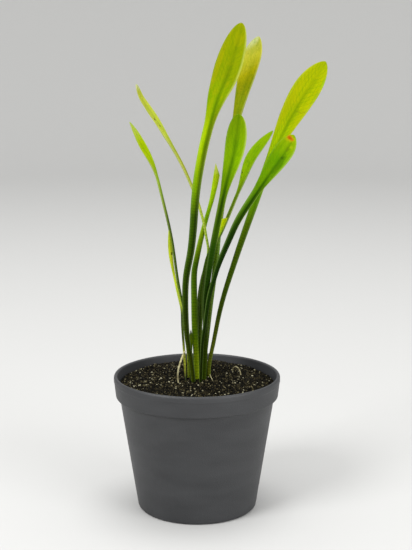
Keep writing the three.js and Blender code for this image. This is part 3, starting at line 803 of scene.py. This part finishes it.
def pot_material():
    """Charcoal moulded plastic with a fine grain, faint flow marks and a little wear."""
    shader = Shader("pot_plastic")
    point = object_point(shader)
    grain = shader.noise(point, 2.6, 4.0, 0.6)
    flow = shader.noise(shader.scaled(point, (0.05, 0.05, 0.16)), 1.0, 4.0)
    scuffs = shader.noise(shader.scaled(point, (0.6, 0.6, 1.8)), 1.0, 6.0, 0.7)
    worn = shader.ease(scuffs, 0.6, 0.78)
    colour = shader.ramp(flow, [(0.3, tint(37, 38, 40)), (0.7, tint(48, 49, 51))])
    colour = shader.blend(shader.product(worn, 0.35), colour, tint(86, 86, 84))
    roughness = shader.math("ADD", 0.46, shader.product(grain, 0.14))
    roughness = shader.math("ADD", roughness, shader.product(worn, 0.15))
    return shader.finish(shader.skin(colour, roughness, 0.5, shader.bump(grain, 0.00012, 0.6)))


def floor_material():
    shader = Shader("studio_floor")
    return shader.finish(shader.skin((0.56, 0.56, 0.55, 1), 0.9, 0.1))


# Shapes


def add_object(name, data):
    made = bpy.data.objects.new(name, data)
    bpy.context.scene.collection.objects.link(made)
    return made


def add_mesh(name, mesh, material):
    mesh.materials.append(material)
    for polygon in mesh.polygons:
        polygon.use_smooth = True
    return add_object(name, mesh)


def add_piece(name, mesh, material, node):
    """A piece of the scene with its own material, hiding the solid it stands in for, where there is one."""
    made = add_mesh(name, mesh, material)
    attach(made, "root")
    if node:
        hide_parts(node)
    return made


def to_mesh(name, points, faces):
    mesh = bpy.data.meshes.new(name)
    mesh.from_pydata((np.asarray(points) * MM).tolist(), [], faces)
    mesh.update()
    return mesh


def add_attribute(mesh, name, vectors):
    made = mesh.attributes.new(name, "FLOAT_VECTOR", "POINT")
    made.data.foreach_set("vector", np.asarray(vectors, float).ravel())


class Course:
    """A smooth curve through the points, read by the distance along it."""

    def __init__(self, points):
        given = [np.array(point, float) for point in points]
        knots = [2 * given[0] - given[1], *given, 2 * given[-1] - given[-2]]
        path = []
        for a, b, c, d in zip(knots, knots[1:], knots[2:], knots[3:]):
            ab, bc, cd = (math.sqrt(np.linalg.norm(q - p)) for p, q in ((a, b), (b, c), (c, d)))
            leave = ((b - a) / ab - (c - a) / (ab + bc) + (c - b) / bc) * bc
            arrive = ((c - b) / bc - (d - b) / (bc + cd) + (d - c) / cd) * bc
            bend = 3 * (c - b) - 2 * leave - arrive
            turn = 2 * (b - c) + leave + arrive
            for t in np.linspace(0, 1, CURVE_STEPS, endpoint=False):
                path.append(b + leave * t + bend * t ** 2 + turn * t ** 3)
        self.path = np.array([*path, given[-1]])
        steps = np.linalg.norm(np.diff(self.path, axis=0), axis=1)
        self.reach = np.concatenate([[0], np.cumsum(steps)])
        self.length = self.reach[-1]

    def point(self, distance):
        return np.array([np.interp(distance, self.reach, self.path[:, axis]) for axis in range(3)])

    def tangent(self, distance):
        low = self.point(max(distance - TANGENT_REACH, 0))
        high = self.point(min(distance + TANGENT_REACH, self.length))
        return unit(high - low)


def tube_faces(ring_count, sides):
    """The faces of a skin whose first point is its start, whose last is its end, with the rings between."""
    faces = []
    last = 1 + (ring_count - 1) * sides
    for side in range(sides):
        following = (side + 1) % sides
        faces.append((0, 1 + following, 1 + side))
        for low in range(1, last, sides):
            high = low + sides
            faces.append((low + side, low + following, high + following, high + side))
        faces.append((last + side, last + following, last + sides))
    return faces


def stalk_width(widths, share):
    """The width on a smooth curve through the three widths."""
    foot, middle, neck = widths
    bend = 2 * middle - (foot + neck) / 2
    return foot * (1 - share) ** 2 + 2 * bend * share * (1 - share) + neck * share ** 2


def blade_width(blade, neck, share):
    if share < blade["widest"]:
        return mix(neck, blade["width"], ease(share / blade["widest"]))
    beyond = (share - blade["widest"]) / (1 - blade["widest"])
    return blade["width"] * (1 - beyond ** 2) ** blade["blunt"]


def leaf_stations(leaf, length):
    """The leaf's rings: the distance along it, the shares of the leaf and of the blade, and the width."""
    blade = leaf["blade"]
    neck_at = length - blade["length"]
    stations = []
    count = int(neck_at / STALK_STEP)
    for i in range(count):
        share = i / count
        stations.append((neck_at * share, share, 0.0, stalk_width(leaf["stalk"], share)))
    for i in range(BLADE_STATIONS):
        share = 1 - (1 - i / BLADE_STATIONS) ** TIP_CROWDING
        distance = neck_at + blade["length"] * share
        stations.append((distance, 1 + share, share, blade_width(blade, leaf["stalk"][2], share)))
    return stations


def leaf_mesh(leaf):
    """The leaf's skin, with where each point lies across and along it kept for the material."""
    course = Course(leaf["course"])
    stations = leaf_stations(leaf, course.length)
    lift = leaf["blade"]["lift"]
    points = [course.point(0)]
    shares = [(0, 0, 0)]
    spans = [(0, 0, 0)]
    for distance, along, share, width in stations:
        centre = course.point(distance)
        tangent = course.tangent(distance)
        angle = math.radians(mix(*leaf["turn"], share))
        face = np.array([math.sin(angle), -math.cos(angle), 0])
        face = unit(face - face.dot(tangent) * tangent)
        across = np.cross(tangent, face)
        flatness = ease(2 * share)
        depth = mix(width * STALK_ROUNDNESS, BLADE_THICKNESS, flatness) / 2
        reach = width / 2
        groove = MIDRIB_DEPTH * flatness * (1 - ease((share - MIDRIB_FADES_AT) / (1 - MIDRIB_FADES_AT)))
        for side in range(LEAF_SIDES):
            turn = side / LEAF_SIDES * math.tau
            outward = math.sin(turn)
            rise = depth * math.cos(turn) + lift * flatness * reach * outward ** 2
            rise -= groove * math.exp(-(outward / MIDRIB_HALF_WIDTH) ** 2)
            points.append(centre + across * reach * outward + face * rise)
            shares.append((outward, along, 0))
            spans.append((outward * reach, distance, 0))
    points.append(course.point(course.length))
    shares.append((0, 2, 0))
    spans.append((0, course.length, 0))
    points = np.array(points) + (0, 0, SAND_LEVEL)
    mesh = to_mesh(leaf["name"], points, tube_faces(len(stations), LEAF_SIDES))
    add_attribute(mesh, "leaf_share", shares)
    add_attribute(mesh, "leaf_span", spans)
    if "cut" in leaf:
        cut_mesh(mesh, leaf["cut"])
    return mesh


def cut_mesh(mesh, cut):
    """Takes away what lies behind the cut's plane and closes the leaf there."""
    made = bmesh.new()
    made.from_mesh(mesh)
    place = Vector(cut["at"]) + Vector((0, 0, SAND_LEVEL))
    everything = [*made.verts, *made.edges, *made.faces]
    backward = Vector(cut["towards"])
    bmesh.ops.bisect_plane(made, geom=everything, plane_co=place * MM, plane_no=backward, clear_inner=True)
    rim = [edge for edge in made.edges if edge.is_boundary]
    bmesh.ops.holes_fill(made, edges=rim, sides=0)
    made.to_mesh(mesh)
    made.free()
    mesh.update()


def root_mesh(root):
    course = Course(root["course"])
    points = [course.point(0)]
    for station in range(ROOT_STATIONS + 1):
        share = station / ROOT_STATIONS
        centre = course.point(course.length * share)
        tangent = course.tangent(course.length * share)
        across = unit(np.cross((0, 1, 0), tangent))
        third = np.cross(tangent, across)
        for side in range(ROOT_SIDES):
            turn = side / ROOT_SIDES * math.tau
            place = Vector((share * ROOT_KNOTS, math.cos(turn), math.sin(turn)))
            reach = mix(*root["width"], share) / 2 * (1 + ROOT_KNOT_DEPTH * noise.noise(place))
            points.append(centre + (across * math.cos(turn) + third * math.sin(turn)) * reach)
    points.append(course.point(course.length))
    points = np.array(points) + (0, 0, SAND_LEVEL)
    return to_mesh(root["name"], points, tube_faces(ROOT_STATIONS + 1, ROOT_SIDES))


def ring_points(count, radius, height):
    turns = [step / count * math.tau for step in range(count)]
    return [(radius * math.cos(turn), radius * math.sin(turn), height) for turn in turns]


def lathe_mesh(name, profile, segments):
    """A closed skin turned about the pot's axis, from a profile whose first and last points lie on it."""
    middle = profile[1:-1]
    points = [(0, 0, profile[0][1])]
    for radius, height in middle:
        points += ring_points(segments, radius, height)
    points.append((0, 0, profile[-1][1]))
    return to_mesh(name, points, tube_faces(len(middle), segments))


def rounded(profile):
    """The profile with its corners rounded, as far as its stretches leave room."""
    corners = [np.array(point, float) for point in profile]
    result = [corners[0]]
    for before, corner, after in zip(corners, corners[1:], corners[2:]):
        back, ahead = before - corner, after - corner
        room = min(np.linalg.norm(back), np.linalg.norm(ahead)) * CORNER_SHARE
        cut = min(CORNER_RADIUS, room)
        start = corner + unit(back) * cut
        end = corner + unit(ahead) * cut
        for step in range(CORNER_STEPS + 1):
            t = step / CORNER_STEPS
            result.append(start * (1 - t) ** 2 + 2 * corner * t * (1 - t) + end * t ** 2)
    result.append(corners[-1])
    return result


def wall_at(height):
    """The radius of the pot's inner face."""
    return mix(POT_FOOT_RADIUS, POT_SHOULDER_RADIUS, height / (POT_HEIGHT - POT_RIM_BAND)) - POT_WALL


def inner_face():
    """The pot's inner face from its floor to its mouth."""
    shoulder = POT_HEIGHT - POT_RIM_BAND
    mouth = POT_RIM_RADIUS - POT_WALL
    return [
        (wall_at(POT_FLOOR) - POT_EDGE, POT_FLOOR),
        (wall_at(POT_FLOOR + POT_EDGE), POT_FLOOR + POT_EDGE),
        (wall_at(shoulder), shoulder - POT_EDGE),
        (mouth - POT_EDGE, shoulder + 2 * POT_EDGE),
        (mouth, POT_HEIGHT - POT_EDGE / 2),
    ]


def pot_mesh():
    shoulder = POT_HEIGHT - POT_RIM_BAND
    profile = [
        (0, FOOT_RING_HEIGHT),
        (POT_FOOT_RADIUS - FOOT_RING_WIDTH - FOOT_RING_HEIGHT, FOOT_RING_HEIGHT),
        (POT_FOOT_RADIUS - FOOT_RING_WIDTH, 0),
        (POT_FOOT_RADIUS - POT_EDGE, 0),
        (POT_FOOT_RADIUS, POT_EDGE),
        (POT_SHOULDER_RADIUS, shoulder),
        (POT_RIM_RADIUS - 1.5 * POT_EDGE, shoulder),
        (POT_RIM_RADIUS - POT_EDGE, shoulder + POT_EDGE / 2),
        (POT_RIM_RADIUS - BEAD_RISE, POT_HEIGHT - BEAD_FOOT),
        (POT_RIM_RADIUS, POT_HEIGHT - BEAD_TOP),
        (POT_RIM_RADIUS, POT_HEIGHT - LIP_BEVEL[1]),
        (POT_RIM_RADIUS - LIP_BEVEL[0], POT_HEIGHT),
        (POT_RIM_RADIUS - LIP_WIDTH, POT_HEIGHT),
        *reversed(inner_face()),
        (0, POT_FLOOR),
    ]
    return lathe_mesh("pot_tub", rounded(profile), POT_SEGMENTS)


def drill_drains(pot):
    """Cuts the drain holes through the pot's floor."""
    made = bmesh.new()
    radius = DRAIN_RADIUS * MM
    for direction in ring_points(DRAIN_COUNT, 1, 0):
        place = Vector(direction) * DRAIN_CIRCLE_RADIUS * MM
        found = bmesh.ops.create_cone(
            made, cap_ends=True, segments=DRILL_SEGMENTS, radius1=radius, radius2=radius,
            depth=DRILL_LENGTH * MM)
        bmesh.ops.translate(made, verts=found["verts"], vec=place)
    mesh = bpy.data.meshes.new("drills")
    made.to_mesh(mesh)
    made.free()
    drills = add_object("drills", mesh)
    cut = pot.modifiers.new("drains", "BOOLEAN")
    cut.operation = "DIFFERENCE"
    cut.object = drills
    with bpy.context.temp_override(object=pot, active_object=pot):
        bpy.ops.object.modifier_apply(modifier="drains")
    bpy.data.objects.remove(drills)


def sand_height(x, y):
    """How far the sand stands above its level at a place."""
    far = math.hypot(x - HEAP_CENTRE[0], y - HEAP_CENTRE[1]) / HEAP_SPREAD
    wave = math.sin(x / RIPPLE_SCALE[0] + RIPPLE_SHIFT) * math.cos(y / RIPPLE_SCALE[1])
    return HEAP_HEIGHT * math.exp(-far * far) + min(y, 0) * FRONT_FALL + RIPPLE_HEIGHT * wave


def bed_mesh():
    """The bed under the loose grains, a grain's depth below the sand's surface."""
    wall = [(radius - BED_CLEARANCE, height + BED_CLEARANCE) for radius, height in inner_face()[:-1]]
    edge = wall[-1][0]
    rings = [(edge * ring / BED_RINGS, SAND_LEVEL) for ring in range(BED_RINGS, -1, -1)]
    mesh = lathe_mesh("sand_bed", [(0, wall[0][1]), *wall, *rings], BED_SEGMENTS)
    for vertex in mesh.vertices:
        if vertex.co.z > (SAND_LEVEL - BED_CLEARANCE) * MM:
            height = sand_height(vertex.co.x / MM, vertex.co.y / MM) - GRAIN_SINK
            vertex.co.z += height * MM
    return mesh


def grain_shape():
    """The points and triangles of a twenty-sided ball."""
    ball = bmesh.new()
    bmesh.ops.create_icosphere(ball, subdivisions=1, radius=1)
    points = np.array([vertex.co[:] for vertex in ball.verts])
    faces = np.array([[vertex.index for vertex in face.verts] for face in ball.faces])
    ball.free()
    return points, faces


def grain_mesh(name, places, draws):
    """Angular grains of (x, y, z, radius), joined into one mesh, each with its own seed for the material."""
    shape, triangles = grain_shape()
    points = []
    faces = []
    seeds = []
    for index, (x, y, z, radius) in enumerate(places):
        lumps = draws.uniform(*GRAIN_LUMPS, (len(shape), 1))
        stretch = draws.uniform(*GRAIN_STRETCH, 3)
        spin = np.linalg.qr(draws.normal(size=(3, 3)))[0]
        if np.linalg.det(spin) < 0:
            spin[0] *= -1
        points.append((shape * lumps * stretch) @ spin * radius + (x, y, z))
        faces.append(triangles + index * len(shape))
        seeds.append(np.tile(draws.uniform(0, 1, 3), (len(shape), 1)))
    mesh = to_mesh(name, np.concatenate(points), np.concatenate(faces).tolist())
    add_attribute(mesh, "grain", np.concatenate(seeds))
    return mesh


def grain_places(draws):
    """The grains' places and radii, in rows across the pot, each a little out of line."""
    edge = inner_face()[-2][0] - GRAIN_EDGE_GAP
    places = []
    rows = int(edge / GRAIN_ROW_PITCH) + 1
    for row in range(-rows, rows + 1):
        for column in range(-rows, rows + 1):
            x = (column + 0.5 * (row % 2)) * GRAIN_PITCH + draws.uniform(-GRAIN_SHIFT, GRAIN_SHIFT)
            y = row * GRAIN_ROW_PITCH + draws.uniform(-GRAIN_SHIFT, GRAIN_SHIFT)
            if math.hypot(x, y) > edge:
                continue
            radius = GRAIN_SMALLEST + GRAIN_GROWTH * draws.uniform(0, 1) ** GRAIN_FINENESS
            height = sand_height(x, y) - GRAIN_SINK + draws.uniform(*GRAIN_LIFT)
            places.append((x, y, SAND_LEVEL + height, radius))
    return places


def dish_mesh():
    """A wide floor that curves up into a low wall all round, so that no edge of it shows."""
    profile = [(radius, 0) for radius in np.linspace(FLOOR_START, FLOOR_RADIUS, FLOOR_RINGS)]
    for turn in np.linspace(*FLOOR_BEND_TURNS, FLOOR_BEND_RINGS):
        profile.append((FLOOR_RADIUS + FLOOR_BEND * math.sin(turn), FLOOR_BEND * (1 - math.cos(turn))))
    made = bmesh.new()
    rings = []
    for radius, height in profile:
        rings.append([made.verts.new(point) for point in ring_points(FLOOR_SIDES, radius, height)])
    made.faces.new(rings[0])
    for inner, outer in zip(rings, rings[1:]):
        for side in range(FLOOR_SIDES):
            made.faces.new((inner[side - 1], outer[side - 1], outer[side], inner[side]))
    mesh = bpy.data.meshes.new("studio_floor")
    made.to_mesh(mesh)
    made.free()
    return mesh


def add_area_light(name, place, aim, size, power):
    lamp = bpy.data.lights.new(name, "AREA")
    lamp.shape = "DISK"
    lamp.size = size
    lamp.energy = power
    made = add_object(name, lamp)
    made.location = place
    made.rotation_euler = (Vector(aim) - Vector(place)).to_track_quat("-Z", "Y").to_euler()


# Camera
camera_data = bpy.data.cameras.new("camera")
camera_data.sensor_width = SENSOR_WIDTH
camera_data.lens = SENSOR_WIDTH * FOCAL_PIXELS / FRAME_HEIGHT_PIXELS
camera_data.clip_start = 0.01
camera = add_object("camera", camera_data)
camera.location = EYE
camera.rotation_euler = (math.pi / 2 - PITCH, 0, 0)
bpy.context.scene.camera = camera

# Leaves and roots
for leaf in LEAVES:
    add_piece(leaf["name"] + "_skin", leaf_mesh(leaf), leaf_material(leaf), leaf["name"])
root_skin = root_material()
for root in ROOTS:
    add_piece(root["name"] + "_skin", root_mesh(root), root_skin, root["name"])
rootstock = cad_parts["rootstock"]
rootstock.data.materials.clear()
rootstock.data.materials.append(rootstock_material())

# Pot
pot = add_piece("pot_tub", pot_mesh(), pot_material(), "pot")
drill_drains(pot)

# Sand
draws = np.random.default_rng(GRAIN_SEED)
add_piece("sand_bed", bed_mesh(), bed_material(), "sand")
grains = grain_mesh("sand_grains", grain_places(draws), draws)
add_piece("sand_grains", grains, grain_material(), None)
for polygon in grains.polygons:
    polygon.use_smooth = False

# Floor, light and background
floor = add_mesh("studio_floor", dish_mesh(), floor_material())
for name, settings in LIGHTS.items():
    add_area_light(name, *settings)
world = bpy.data.worlds.new("studio")
world.use_nodes = True
background = world.node_tree.nodes["Background"]
background.inputs["Color"].default_value = (1, 1, 1, 1)
background.inputs["Strength"].default_value = WORLD_STRENGTH
bpy.context.scene.world = world
bpy.context.scene.view_settings.view_transform = "Standard"
